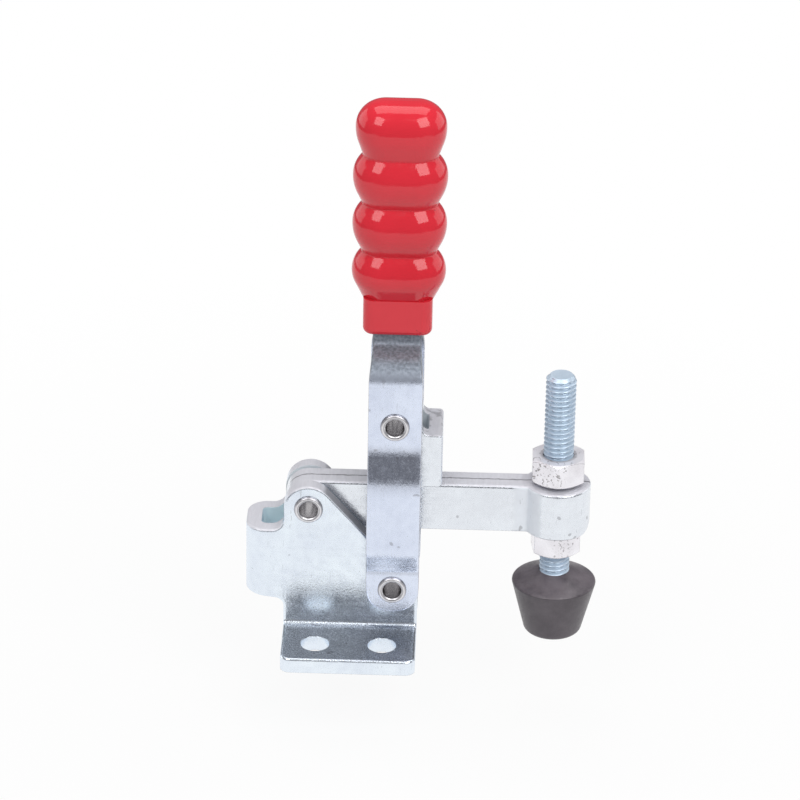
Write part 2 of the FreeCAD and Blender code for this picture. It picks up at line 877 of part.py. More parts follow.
def make_hand_grip():
    body = new_body("hand_grip")
    half_flat = dim.grip_flat / 2
    outline = grip_outline()
    mirrored = [(-corner[0],) + corner[1:] for corner in reversed(outline)]
    middle = new_sketch(body, "YZ_Plane", "GripMiddle")
    draw_loop(middle, [(0.0, dim.grip_top)] + outline + mirrored)
    pad(body, middle, dim.grip_flat, both_ways=True)
    for name, place, reverse in (
        ("GripNear", -half_flat, False),
        ("GripFar", half_flat, True),
    ):
        end = new_sketch(body, "YZ_Plane", name, place)
        draw_loop(end, [(0.0, dim.grip_top)] + outline + [(0.0, grip_neck)])
        turn = revolve(body, end)
        turn.Angle = 180
        turn.Reversed = reverse
    collar = new_sketch(body, "XY_Plane", "GripCollar", grip_foot)
    draw_rounded(collar, dim.collar_width, dim.collar_depth, dim.collar_corner)
    joined = pad(body, collar, dim.collar_height)
    document.recompute()

    def at_foot(edge):
        box = edge.BoundBox
        foot = grip_foot.number
        return abs(box.ZMin - foot) < 0.01 and abs(box.ZMax - foot) < 0.01

    fillet_edges(body, joined, dim.collar_foot_round, at_foot)
    hollow = new_sketch(body, "XY_Plane", "GripHollow", grip_foot)
    draw_rounded(hollow, dim.strip_tang_width, dim.steel * 2)
    pocket(body, hollow, tang_top - grip_foot, upward=True)
    move(body, x=dim.handle_x)
    return body


# Rivets and spacers, turned about their own Z axis and laid across the clamp


def across_clamp(body, x, z):
    """Lay a turned piece along Y, with its middle on the middle plane."""
    move(body, x=x, z=z, rotation=FreeCAD.Rotation(FreeCAD.Vector(1, 0, 0), 90))


def make_rivet(label, x, z, grip_half):
    """A tubular rivet whose heads bear on faces at the same distance each side."""
    body = new_body(label)
    bore = dim.rivet_bore / 2
    head = dim.rivet_head / 2
    end = grip_half + dim.rivet_head_height
    sketch = new_sketch(body, "XZ_Plane", "RivetSection")
    draw_loop(
        sketch,
        [
            (bore, -end, dim.rivet_mouth_round),
            (head, -end, dim.rivet_head_round),
            (head, -grip_half),
            (shank_radius, -grip_half),
            (shank_radius, grip_half),
            (head, grip_half),
            (head, end, dim.rivet_head_round),
            (bore, end, dim.rivet_mouth_round),
        ],
    )
    revolve(body, sketch)
    across_clamp(body, x, z)
    return body


def make_spacer(label, x, z):
    """A sleeve round a rivet that keeps two plates apart."""
    body = new_body(label)
    sketch = new_sketch(body, "XY_Plane", "SpacerSection", -wall_in)
    draw_circle(sketch, as_size(0.0), as_size(0.0), dim.spacer_diameter / 2)
    draw_circle(sketch, as_size(0.0), as_size(0.0), fixed_bore)
    pad(body, sketch, wall_in * 2)
    across_clamp(body, x, z)
    return body


# Spindle, nuts and tip, turned about the spindle's axis


def make_spindle():
    body = new_body("spindle")
    shank = new_sketch(body, "XZ_Plane", "SpindleSection")
    draw_loop(
        shank,
        [
            (as_size(0.0), dim.bolt_head_z),
            (thread_radius, dim.bolt_head_z),
            (thread_radius, dim.spindle_top - dim.spindle_chamfer),
            (thread_radius - dim.spindle_chamfer, dim.spindle_top),
            (as_size(0.0), dim.spindle_top),
        ],
    )
    revolve(body, shank)
    head = new_sketch(body, "XY_Plane", "SpindleHead", dim.bolt_head_z)
    draw_hexagon(head, dim.bolt_head_across)
    pad(body, head, dim.bolt_head_height)
    move(body, x=dim.spindle_x)
    return body


def make_nut(label, across, height, z, turn):
    body = new_body(label)
    prism = new_sketch(body, "XY_Plane", "NutPrism")
    draw_hexagon(prism, across, turn)
    draw_circle(prism, as_size(0.0), as_size(0.0), nut_bore)
    pad(body, prism, height)
    corners = new_sketch(body, "XZ_Plane", "NutChamfer")
    flat = across / 2
    outside = flat + dim.nut_chamfer * 2
    for level, step in ((as_size(0.0), dim.nut_chamfer), (height, -dim.nut_chamfer)):
        draw_loop(corners, [(flat, level), (outside, level + step), (outside, level)])
    groove(body, corners)
    move(body, x=dim.spindle_x, z=z)
    return body


def make_rubber_tip():
    body = new_body("rubber_tip")
    section = new_sketch(body, "XZ_Plane", "TipSection")
    draw_loop(
        section,
        [
            (as_size(0.0), 0.0),
            (dim.tip_foot_radius, 0.0, dim.tip_foot_round),
            (dim.tip_rim_radius, dim.tip_rim_z, dim.tip_rim_round),
            (thread_radius, dim.tip_crown_z),
            (as_size(0.0), dim.tip_crown_z),
        ],
    )
    revolve(body, section)
    head = new_sketch(body, "XY_Plane", "TipHeadSeat", dim.bolt_head_z)
    draw_hexagon(head, dim.bolt_head_across)
    pocket(body, head, dim.bolt_head_height, upward=True)
    neck = new_sketch(body, "XY_Plane", "TipNeck", dim.bolt_head_z)
    draw_circle(neck, as_size(0.0), as_size(0.0), thread_radius)
    pocket(body, neck, dim.tip_crown_z, upward=True)
    move(body, x=dim.spindle_x)
    return body


pieces = [
    make_base_bracket(),
    make_arm_plate("arm_plate_front", -1.0),
    make_arm_plate("arm_plate_rear", 1.0),
    make_toggle_link(),
    make_handle_strip("handle_strip_front", -1.0),
    make_handle_strip("handle_strip_rear", 1.0),
    make_hand_grip(),
    make_rivet("arm_rivet", dim.arm_pivot_x, dim.arm_pivot_z, wall_out),
    make_rivet("handle_rivet", dim.handle_x, dim.base_pivot_z, strip_out),
    make_rivet("upper_link_rivet", dim.handle_x, dim.link_pivot_z, strip_out),
    make_rivet("lower_link_rivet", dim.handle_x, dim.arm_link_z, link_out),
    make_spacer("base_spacer", dim.handle_x, dim.base_pivot_z),
    make_spacer("link_spacer", dim.handle_x, dim.link_pivot_z),
    make_spindle(),
    make_nut(
        "upper_nut",
        dim.nut_across,
        dim.nut_height,
        dim.arm_top + dim.nut_gap,
        UPPER_NUT_TURN_DEG,
    ),
    make_nut(
        "lower_nut",
        dim.lock_nut_across,
        dim.lock_nut_height,
        arm_bottom - dim.lock_nut_height,
        LOCK_NUT_TURN_DEG,
    ),
    make_rubber_tip(),
]
document.recompute()

# Nothing is written unless every object computed and every piece is one sound solid
for item in document.Objects:
    if "Invalid" in item.State or "Error" in item.State:
        raise RuntimeError(f"{item.Label} did not compute: {item.State}")
for piece in pieces:
    shape = piece.Shape
    if shape.isNull() or not shape.isValid() or len(shape.Solids) != 1:
        raise RuntimeError(f"{piece.Label} is not one sound solid")

os.makedirs("parts", exist_ok=True)
for piece in pieces:
    piece.Shape.exportStep(f"parts/{piece.Label}.step")
    box = piece.Shape.BoundBox
    print(
        f"{piece.Label}: x {box.XMin:.1f} to {box.XMax:.1f}, y {box.YMin:.1f} to "
        f"{box.YMax:.1f}, z {box.ZMin:.1f} to {box.ZMax:.1f}, {piece.Shape.Volume:.0f} mm3"
    )
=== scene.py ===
"""Studio picture of the vertical toggle clamp.

Metres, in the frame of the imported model: X along the arm, Y across the clamp, Z up.
"""

import math

import bmesh
import bpy
from mathutils import Matrix, Vector


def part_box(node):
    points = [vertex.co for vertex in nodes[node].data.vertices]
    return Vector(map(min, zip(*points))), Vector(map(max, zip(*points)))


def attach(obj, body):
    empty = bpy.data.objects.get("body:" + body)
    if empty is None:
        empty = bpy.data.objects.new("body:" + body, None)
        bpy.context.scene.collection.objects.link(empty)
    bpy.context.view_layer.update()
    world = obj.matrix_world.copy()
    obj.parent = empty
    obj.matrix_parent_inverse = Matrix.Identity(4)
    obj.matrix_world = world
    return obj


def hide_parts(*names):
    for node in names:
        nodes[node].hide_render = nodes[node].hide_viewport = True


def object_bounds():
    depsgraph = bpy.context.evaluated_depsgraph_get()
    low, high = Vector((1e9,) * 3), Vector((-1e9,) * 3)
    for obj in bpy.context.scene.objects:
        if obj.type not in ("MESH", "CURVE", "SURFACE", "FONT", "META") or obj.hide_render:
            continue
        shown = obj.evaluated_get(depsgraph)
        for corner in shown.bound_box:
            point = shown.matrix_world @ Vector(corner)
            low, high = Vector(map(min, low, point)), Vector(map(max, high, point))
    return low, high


MM = 0.001

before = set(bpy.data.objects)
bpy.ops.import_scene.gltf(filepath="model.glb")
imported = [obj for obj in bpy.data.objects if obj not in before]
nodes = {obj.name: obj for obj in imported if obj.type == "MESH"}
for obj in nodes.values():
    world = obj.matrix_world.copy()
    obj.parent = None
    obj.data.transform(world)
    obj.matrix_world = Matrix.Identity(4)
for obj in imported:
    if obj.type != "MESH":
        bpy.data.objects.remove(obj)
cad_box = [list(corner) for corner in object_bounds()]


def in_mm(*lengths):
    """Lengths in millimetres as metres."""
    return tuple(length * MM for length in lengths)


# Camera: a long lens that looks down on the clamp from the front

FRAME_PIXELS = 800
FOCAL_PIXELS = 4000
SENSOR = 36.0
CAMERA_PLACE = Vector((20.91, -688.39, 394.18)) * MM
CAMERA_TARGET = Vector((8.895, 0.0, 49.40)) * MM
CAMERA_ROLL = math.radians(1.1)
CLIP_START = 0.05
CLIP_END = 20.0


def make_camera():
    """The camera, rolled a little so that upright edges lean to the right."""
    back = (CAMERA_PLACE - CAMERA_TARGET).normalized()
    level = Vector((0, 0, 1)).cross(back).normalized()
    upright = back.cross(level)
    right = level * math.cos(CAMERA_ROLL) + upright * math.sin(CAMERA_ROLL)
    up = back.cross(right)
    data = bpy.data.cameras.new("camera")
    data.sensor_width = SENSOR
    data.lens = FOCAL_PIXELS / FRAME_PIXELS * SENSOR
    data.clip_start = CLIP_START
    data.clip_end = CLIP_END
    camera = bpy.data.objects.new("camera", data)
    turn = Matrix((right, up, back)).transposed().to_4x4()
    camera.matrix_world = Matrix.Translation(CAMERA_PLACE) @ turn
    bpy.context.scene.collection.objects.link(camera)
    bpy.context.scene.camera = camera


# Shader graphs

IOR = 1.5
BEVEL_SAMPLES = 4
EDGE_TURN = (1.0, 0.9)  # cosine of a rounded normal's turn, off an edge and on it
NOISE_MIDDLE = (0.3, 0.7)  # the range that most of a noise stays in


def feed(tree, socket, value):
    """Link another node's socket to this one, or set a constant on it."""
    if isinstance(value, bpy.types.NodeSocket):
        tree.links.new(value, socket)
    else:
        socket.default_value = value


def add_node(tree, kind, inputs=None, **settings):
    """A node, with its inputs given as constants or as other nodes' sockets."""
    made = tree.nodes.new(kind)
    for key, value in settings.items():
        setattr(made, key, value)
    for key, value in (inputs or {}).items():
        feed(tree, made.inputs[key], value)
    return made


def add_colour_mix(tree, share, first, second):
    """A colour between two colours. A mix node's colours are its inputs 6 and 7."""
    inputs = {0: share, 6: first, 7: second}
    return add_node(tree, "ShaderNodeMix", inputs, data_type="RGBA").outputs[2]


def add_maths(tree, operation, first, second=0.0):
    """The result of an operation on two values, or on the first alone."""
    inputs = {0: first, 1: second}
    return add_node(tree, "ShaderNodeMath", inputs, operation=operation).outputs[0]


class Graph:
    """A material in the making: its node tree and what its shader will be given."""

    def __init__(self, name):
        self.material = bpy.data.materials.new(name)
        self.material.use_nodes = True
        self.tree = self.material.node_tree
        self.tree.nodes.clear()
        coordinates = self.node("ShaderNodeTexCoord")
        self.place = coordinates.outputs["Object"]
        self.facing = coordinates.outputs["Normal"]
        self.colour = None
        self.metallic = 0.0
        self.rough = 0.5
        self.normal = None

    # Nodes

    def node(self, kind, inputs=None, **settings):
        return add_node(self.tree, kind, inputs, **settings)

    def place_on(self, axis):
        """A point's coordinate along an axis."""
        return self.node("ShaderNodeSeparateXYZ", {"Vector": self.place}).outputs[axis]

    def facing_on(self, axis):
        """The surface normal's part along an axis."""
        return self.node("ShaderNodeSeparateXYZ", {"Vector": self.facing}).outputs[axis]

    def noise(self, scale, detail=3.0, roughness=0.5, place=None):
        inputs = {
            "Vector": place or self.place,
            "Scale": scale,
            "Detail": detail,
            "Roughness": roughness,
        }
        return self.node("ShaderNodeTexNoise", inputs).outputs["Fac"]

    def streaks(self, scales, detail):
        """A noise with its own scale along each axis, so that it can be drawn out."""
        inputs = {"Vector": self.place, "Scale": scales}
        place = self.node("ShaderNodeMapping", inputs).outputs[0]
        return self.noise(1.0, detail, place=place)

    def spread(self, value, low, high, to_low=0.0, to_high=1.0):
        """Map one range of a value onto another range."""
        inputs = {
            "Value": value,
            "From Min": low,
            "From Max": high,
            "To Min": to_low,
            "To Max": to_high,
        }
        return self.node("ShaderNodeMapRange", inputs).outputs[0]

    def evened(self, noise, to_low=0.0, to_high=1.0):
        """A noise's middle range, mapped onto another range."""
        return self.spread(noise, *NOISE_MIDDLE, to_low, to_high)

    def blend(self, share, first, second):
        return add_colour_mix(self.tree, share, first, second)

    def mixed(self, share, first, second):
        """A value between two values."""
        inputs = {0: share, 2: first, 3: second}
        return self.node("ShaderNodeMix", inputs, data_type="FLOAT").outputs[0]

    def plus(self, first, second):
        return add_maths(self.tree, "ADD", first, second)

    def times(self, first, second):
        return add_maths(self.tree, "MULTIPLY", first, second)

    def larger(self, first, second):
        return add_maths(self.tree, "MAXIMUM", first, second)

    def size_of(self, value):
        """A value without its sign."""
        return add_maths(self.tree, "ABSOLUTE", value)

    def away_from(self, middle, value):
        """How far a value is from a middle value."""
        return self.size_of(add_maths(self.tree, "SUBTRACT", value, middle))

    def vector_maths(self, operation, first, second=None):
        inputs = {0: first} if second is None else {0: first, 1: second}
        return self.node("ShaderNodeVectorMath", inputs, operation=operation).outputs

    def radius_from(self, middle, plane):
        """Distance from an axis through a point. The plane has 1 across the axis."""
        centred = self.vector_maths("SUBTRACT", self.place, middle)[0]
        across = self.vector_maths("MULTIPLY", centred, plane)[0]
        return self.vector_maths("LENGTH", across)["Value"]

    # What the shader is given

    def stain(self, mask, colour, strength=1.0):
        """Another colour where the mask is 1, up to this strength."""
        self.colour = self.blend(self.times(mask, strength), self.colour, colour)

    def roughen(self, mask, rough):
        self.rough = self.mixed(mask, self.rough, rough)

    def dull(self, mask, metallic):
        self.metallic = self.mixed(mask, self.metallic, metallic)

    def dent(self, height, depth, strength):
        """A bump whose height runs from 0 to 1 over this many metres."""
        inputs = {"Height": height, "Distance": depth, "Strength": strength}
        if self.normal is not None:
            inputs["Normal"] = self.normal
        self.normal = self.node("ShaderNodeBump", inputs).outputs[0]

    def round_edges(self, width, colour, strength):
        """Rounded edges, with the colour of wear on those that stand out."""
        rounded = self.node(
            "ShaderNodeBevel", {"Radius": width}, samples=BEVEL_SAMPLES
        ).outputs[0]
        flat = self.node("ShaderNodeNewGeometry").outputs["Normal"]
        turn = self.vector_maths("DOT_PRODUCT", rounded, flat)["Value"]
        self.stain(self.spread(turn, *EDGE_TURN), colour, strength)
        self.normal = rounded

    def finish(self):
        inputs = {
            "Base Color": self.colour,
            "Metallic": self.metallic,
            "Roughness": self.rough,
            "IOR": IOR,
            "Normal": self.normal,
        }
        shader = self.node("ShaderNodeBsdfPrincipled", inputs)
        self.node("ShaderNodeOutputMaterial", {"Surface": shader.outputs[0]})
        return self.material


# Masks. Each range is where a mask is 0 and where it is 1, along a coordinate or along
# one part of the surface normal.

PLATE_EDGE_FACING = (0.75, 0.45)
LEVEL_FACING = (0.5, 0.75)

ABOVE_FLANGES = in_mm(6.5, 7.5)
CUT_FACING = (0.3, 0.6)
CHANNEL_HALF = in_mm(3.35, 3.25)
SIDEWAYS_FACING = (0.3, 0.6)
# Where the painted light inside the base's channel turns greenish
TEAL_BELOW = in_mm(24.8, 24.2)
TEAL_BEHIND = in_mm(-9.0, -13.0)
# Where shade is painted on the base's ear slopes and flange tops
EAR_AHEAD = in_mm(-5.6, -4.8)
EAR_ABOVE = in_mm(15.0, 17.0)
SLOPE_FACING = (0.5, 0.6)
FLANGE_BELOW = in_mm(4.0, 3.4)
FLANGE_FACING = (0.85, 0.97)
FLANGE_SHARE = 0.7

# Where shade is painted on the strips' upper slope
BULGE_START = in_mm(33.8, 37.0)
BULGE_END = in_mm(44.5, 43.0)
# Painted shade in lines across a bend: height and half width in millimetres, and share
SHADE_LINES = ((18.3, 0.45, 0.5), (16.5, 0.7, 1.0))
SHADE_LINE_CORE = 0.15 * MM
# Painted shade and dull plating on the bends below the grip
GRIP_BENDS = in_mm(57.0, 60.0)

SEAM_SCALE = 700.0
SEAM_WANDER = 0.14 * MM
SEAM_LINE = in_mm(0.26, 0.12)
EYE_START = in_mm(31.0, 32.5)
EYE_END = in_mm(37.0, 35.5)

SMUDGE_SCALE = 650.0
SMUDGE_RANGE = (0.52, 0.62)
FINE_DETAIL = 4.0


def across_plate(graph):
    """1 on the blanked edges of plates that lie along the clamp."""
    return graph.spread(graph.size_of(graph.facing_on("Y")), *PLATE_EDGE_FACING)


def top_and_bottom(graph):
    """1 on upward and downward faces."""
    return graph.spread(graph.size_of(graph.facing_on("Z")), *LEVEL_FACING)


def above_flanges(graph):
    """1 on the blanked edges of the walls and web, which lie above the flanges."""
    raised = graph.spread(graph.place_on("Z"), *ABOVE_FLANGES)
    return graph.times(raised, graph.spread(graph.facing_on("Z"), *CUT_FACING))


def channel_inside(graph):
    """1 on the inner faces of a channel along the clamp, and 0 on its edges and web."""
    within = graph.spread(graph.size_of(graph.place_on("Y")), *CHANNEL_HALF)
    sideways = graph.spread(graph.size_of(graph.facing_on("Y")), *SIDEWAYS_FACING)
    return graph.times(within, sideways)


def painted_light_in_base(graph):
    """Painted light inside the base's channel, greenish at the rear."""
    below = graph.spread(graph.place_on("Z"), *TEAL_BELOW)
    behind = graph.spread(graph.place_on("X"), *TEAL_BEHIND)
    return graph.blend(graph.times(below, behind), PAINTED_LIGHT_GREY, PAINTED_LIGHT_TEAL)


def painted_light_in_link(graph):
    """Painted light inside the link's channel."""
    return PAINTED_LIGHT_GREY


def ear_slopes(graph):
    """1 on the sloping edges in front of the base's ears, where shade is painted."""
    ahead = graph.spread(graph.place_on("X"), *EAR_AHEAD)
    raised = graph.spread(graph.place_on("Z"), *EAR_ABOVE)
    inclined = graph.spread(graph.facing_on("Z"), *SLOPE_FACING)
    return graph.times(graph.times(ahead, raised), inclined)


def flange_tops(graph):
    """1 on top of the base's flanges, where shade is painted."""
    low = graph.spread(graph.place_on("Z"), *FLANGE_BELOW)
    return graph.times(low, graph.spread(graph.facing_on("Z"), *FLANGE_FACING))


def painted_shade_places(graph):
    """Painted shade on the base's ear slopes, and on its flange tops a little less."""
    tops = graph.times(flange_tops(graph), FLANGE_SHARE)
    return graph.larger(ear_slopes(graph), tops)


def painted_shade_slopes(graph):
    """Painted shade: 1 on the strips' upper slope, and on two lines across the lower one.
    """
    height = graph.place_on("Z")
    marks = graph.times(
        graph.spread(height, *BULGE_START), graph.spread(height, *BULGE_END)
    )
    for line, width, share in SHADE_LINES:
        away = graph.away_from(line * MM, height)
        mark = graph.spread(away, width * MM, SHADE_LINE_CORE, 0.0, share)
        marks = graph.plus(marks, mark)
    return marks


def under_grip(graph):
    """1 on the bends below the grip and on the tang, where the plating is dull and shade
    is painted.
    """
    return graph.spread(graph.place_on("Z"), *GRIP_BENDS)


def arm_seam(graph):
    """1 along the uneven seam on top of the arm, where its two plates meet."""
    wander = graph.evened(graph.noise(SEAM_SCALE, FINE_DETAIL), -SEAM_WANDER, SEAM_WANDER)
    away = graph.size_of(graph.plus(graph.place_on("Y"), wander))
    upward = graph.spread(graph.facing_on("Z"), *LEVEL_FACING)
    return graph.times(graph.spread(away, *SEAM_LINE), upward)


def beside_eye(graph):
    """1 where the arm's plates part to form the eye."""
    along = graph.place_on("X")
    return graph.times(graph.spread(along, *EYE_START), graph.spread(along, *EYE_END))


def end_smudges(graph):
    """Dark smudges in patches on the link's blanked ends."""
    blot = graph.spread(graph.noise(SMUDGE_SCALE, FINE_DETAIL), *SMUDGE_RANGE)
    return graph.times(blot, top_and_bottom(graph))


# Zinc-plated sheet. Noise scales are per metre, a range is where a noise starts to count
# and where it counts in full, and a bump is a depth and a strength.

ZINC_PALE = (0.85, 0.92, 0.985, 1.0)
ZINC_DEEP = (0.75, 0.81, 0.90, 1.0)
STRIP_PALE = (0.76, 0.82, 0.95, 1.0)
STRIP_DEEP = (0.66, 0.715, 0.85, 1.0)
ARM_PALE = (0.84, 0.88, 0.93, 1.0)
ARM_DEEP = (0.76, 0.79, 0.84, 1.0)
CLOUD_SCALE = 90.0
MOTTLE_SCALE = 700.0
MOTTLE_SHARE = 0.35
TONE_RANGE = (0.45, 0.9)

SPOT_GREY = (0.25, 0.25, 0.27, 1.0)
SPOT_SCALE = 480.0
SPOT_RANGE = (0.74, 0.78)
SPOT_SHARE = 0.5
WORN_WHITE = (0.80, 0.81, 0.82, 1.0)
WORN_WIDTH = 0.2 * MM
WORN_SHARE = 0.5
SCRATCH_GREY = (0.40, 0.41, 0.44, 1.0)
SCRATCH_SCALES = (2300.0, 2300.0, 420.0)
SCRATCH_RANGE = (0.66, 0.72)
SCRATCH_SHARE = 0.4
SCRATCH_PATCH_SCALE = 130.0
SCRATCH_PATCH_RANGE = (0.50, 0.60)

ACROSS_SHEET = (60.0, 60.0, 1600.0)
ALONG_HANDLE = (1600.0, 1600.0, 60.0)
ROLLED_RANGE = (0.7, 1.3)
SHEET_ROUGH = (0.16, 0.28)
GRAIN_SCALE = 3300.0
GRAIN_RANGE = (0.46, 0.62)
GRAIN_ROUGH = 0.07
WAVE_SCALE = 60.0
WAVE_BUMP = (0.04 * MM, 1.0)
MOTTLE_BUMP = (0.008 * MM, 1.0)
PIT_SCALE = 2600.0
PIT_BUMP = (0.022 * MM, 1.0)
ROLLED_BUMP = (0.003 * MM, 1.0)

BLANK_PALE = (0.72, 0.72, 0.77, 1.0)
BLANK_DEEP = (0.54, 0.54, 0.58, 1.0)
TORN_SCALES = (1400.0, 260.0, 1400.0)
TORN_BUMP = (0.02 * MM, 1.0)
BLANK_ROUGH = (0.40, 0.58)
BLANK_METAL = 0.3

# Painted shade with a fine grain, on the strips' bends below the grip
PAINTED_SHADE_DARK = (0.085, 0.105, 0.13, 1.0)
PAINTED_SHADE_GREY = (0.205, 0.235, 0.28, 1.0)
PAINTED_SHADE_GRAIN_SCALE = 1900.0
PAINTED_SHADE_GRAIN_RANGE = (0.35, 0.65)

# Painted shade on the base and the strips; also the dark seam and smudges on the arm and
# link
SHADE_GREY = (0.24, 0.24, 0.26, 1.0)
# Painted light inside the channels: lighter, less metallic inner faces, greenish at the
# base's rear
PAINTED_LIGHT_TEAL = (0.78, 0.94, 0.99, 1.0)
PAINTED_LIGHT_GREY = (0.66, 0.71, 0.74, 1.0)
CHANNEL_ROUGH = 0.5
CHANNEL_METAL = 0.25


def mottle_sheet(graph, pale, deep, mottle):
    """Colour of the sheet: cloudy, with a few spots, worn edges and patchy scratches."""
    cloud = graph.noise(CLOUD_SCALE, detail=4.0, roughness=0.6)
    tone = graph.plus(cloud, graph.times(mottle, MOTTLE_SHARE))
    graph.colour = graph.blend(graph.spread(tone, *TONE_RANGE), pale, deep)
    spots = graph.spread(graph.noise(SPOT_SCALE, detail=1.0), *SPOT_RANGE)
    graph.stain(spots, SPOT_GREY, SPOT_SHARE)
    graph.round_edges(WORN_WIDTH, WORN_WHITE, WORN_SHARE)
    patch = graph.spread(
        graph.noise(SCRATCH_PATCH_SCALE, detail=1.0), *SCRATCH_PATCH_RANGE
    )
    scratches = graph.spread(graph.streaks(SCRATCH_SCALES, detail=2.0), *SCRATCH_RANGE)
    graph.stain(graph.times(scratches, patch), SCRATCH_GREY, SCRATCH_SHARE)


def roll_sheet(graph, grain, mottle):
    """Gloss and relief of the sheet: the rolls' streaks, waves, mottle and pits."""
    rolled = graph.streaks(grain, detail=4.0)
    rough = graph.spread(graph.plus(rolled, mottle), *ROLLED_RANGE, *SHEET_ROUGH)
    fine = graph.spread(graph.noise(GRAIN_SCALE), *GRAIN_RANGE, 0.0, GRAIN_ROUGH)
    graph.rough = graph.plus(rough, fine)
    graph.metallic = 1.0
    graph.dent(graph.noise(WAVE_SCALE, detail=2.0), *WAVE_BUMP)
    graph.dent(mottle, *MOTTLE_BUMP)
    graph.dent(graph.noise(PIT_SCALE, detail=2.0), *PIT_BUMP)
    graph.dent(rolled, *ROLLED_BUMP)


def plated_steel(
    name,
    pale,
    deep,
    grain,
    blank,
    shaded,
    shade,
    formed=None,
    painted_shade_tone=0.0,
    formed_rough=0.42,
    formed_metal=1.0,
    inside=None,
):
    """Zinc-plated steel: mottled, finely pitted rolled sheet with rough blanked edges.

    blank, shaded and formed are masks: the blanked edges; the dark places, which are
    painted shade on the base and the strips, and the arm's seam and the link's smudges;
    and the bends where forming has dulled the sheet, with painted shade of the given
    tone under the grip. inside gives the painted light within a channel.
    """
    graph = Graph(name)
    mottle = graph.noise(MOTTLE_SCALE)
    mottle_sheet(graph, pale, deep, mottle)
    roll_sheet(graph, grain, mottle)

    cut = blank(graph)
    torn = graph.streaks(TORN_SCALES, detail=3.0)
    graph.stain(cut, graph.blend(torn, BLANK_PALE, BLANK_DEEP))
    graph.roughen(cut, graph.evened(torn, *BLANK_ROUGH))
    graph.dull(cut, BLANK_METAL)
    graph.dent(graph.times(torn, cut), *TORN_BUMP)

    if formed is not None:
        dulled_and_shaded = formed(graph)
        grains = graph.spread(graph.noise(PAINTED_SHADE_GRAIN_SCALE, detail=2.0), *PAINTED_SHADE_GRAIN_RANGE)
        # Painted shade under the grip on the strips, where the tone is above 0
        graph.stain(dulled_and_shaded, graph.blend(grains, PAINTED_SHADE_DARK, PAINTED_SHADE_GREY), painted_shade_tone)
        graph.roughen(dulled_and_shaded, formed_rough)
        graph.dull(dulled_and_shaded, formed_metal)
    # Painted shade on the base's ear slopes and flange tops and on the strips' slopes;
    # dark seam and smudges on the arm and link
    graph.stain(shaded(graph), SHADE_GREY, shade)
    # Painted light inside a channel
    if inside is not None:
        within = channel_inside(graph)
        graph.stain(within, inside(graph))
        graph.roughen(within, CHANNEL_ROUGH)
        graph.dull(within, CHANNEL_METAL)
    return graph.finish()


# Nuts, sleeves, rivets and spindle

NICKEL_PALE = (0.90, 0.89, 0.93, 1.0)
NICKEL_DEEP = (0.76, 0.74, 0.78, 1.0)
NICKEL_CLOUD_SCALE = 250.0
NICKEL_CLOUD_BUMP = (0.03 * MM, 0.6)
NICKEL_FINE_SCALE = 1800.0
NICKEL_FINE_BUMP = (0.006 * MM, 0.5)
NICKEL_ROUGH = (0.14, 0.26)
NICKEL_WORN = (0.85, 0.84, 0.84, 1.0)
NICKEL_WORN_WIDTH = 0.25 * MM
NICKEL_WORN_SHARE = 0.6
PITTED_DARK = (0.16, 0.15, 0.15, 1.0)
PITTED_SCALE = 1500.0
PITTED_RANGE = (0.58, 0.64)
PITTED_SHARE = 0.7
PITTED_PATCH_SCALE = 140.0
PITTED_PATCH_RANGE = (0.52, 0.62)
# Painted shade round a nut's thread
MOUTH_SHADE = (0.16, 0.16, 0.18, 1.0)
MOUTH_RADII = in_mm(3.75, 3.35)
MOUTH_SHARE = 0.4
TURNED_ROUGH = 0.45
TURNED_METAL = 0.5

RIVET_PALE = (0.70, 0.69, 0.72, 1.0)
RIVET_DEEP = (0.56, 0.55, 0.58, 1.0)
RIVET_CLOUD_SCALE = 400.0
RIVET_CLOUD_BUMP = (0.04 * MM, 0.6)
RIVET_FINE_SCALE = 2200.0
RIVET_FINE_BUMP = (0.006 * MM, 0.6)
RIVET_ROUGH = (0.28, 0.42)
# Painted shade where a rivet seats
SEAT_SHADE = (0.20, 0.19, 0.20, 1.0)
SEAT_RADII = in_mm(2.58, 2.72)
SEAT_SHARE = 0.6
# Painted highlights and shade in rings round the rim: radius and half width in
# millimetres, and grey
PAINTED_RIM_RINGS = ((2.36, 0.10, 0.92), (2.12, 0.08, 0.26), (1.88, 0.07, 0.84))
RIM_CORE = 0.4
RIM_SHARE = 0.7
BORE_GREY = (0.74, 0.73, 0.74, 1.0)
BORE_RADII = in_mm(1.82, 1.76)
BORE_ROUGH = 0.25

BLUE_PALE = (0.64, 0.75, 0.87, 1.0)
BLUE_DEEP = (0.52, 0.63, 0.74, 1.0)
BLUE_CLOUD_SCALE = 180.0
BLUE_FINE_SCALE = 1500.0
BLUE_FINE_BUMP = (0.01 * MM, 0.4)
BLUE_ROUGH = (0.24, 0.38)
BLUE_METAL = 0.95

# Planes across the axis of a nut and of a rivet
LEVEL_PLANE = (1.0, 1.0, 0.0)
UPRIGHT_PLANE = (1.0, 0.0, 1.0)


def middle_of(name):
    """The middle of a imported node's mesh, in its own coordinates."""
    points = [vertex.co for vertex in nodes[name].data.vertices]
    low = [min(point[axis] for point in points) for axis in range(3)]
    high = [max(point[axis] for point in points) for axis in range(3)]
    return [(a + b) / 2 for a, b in zip(low, high)]


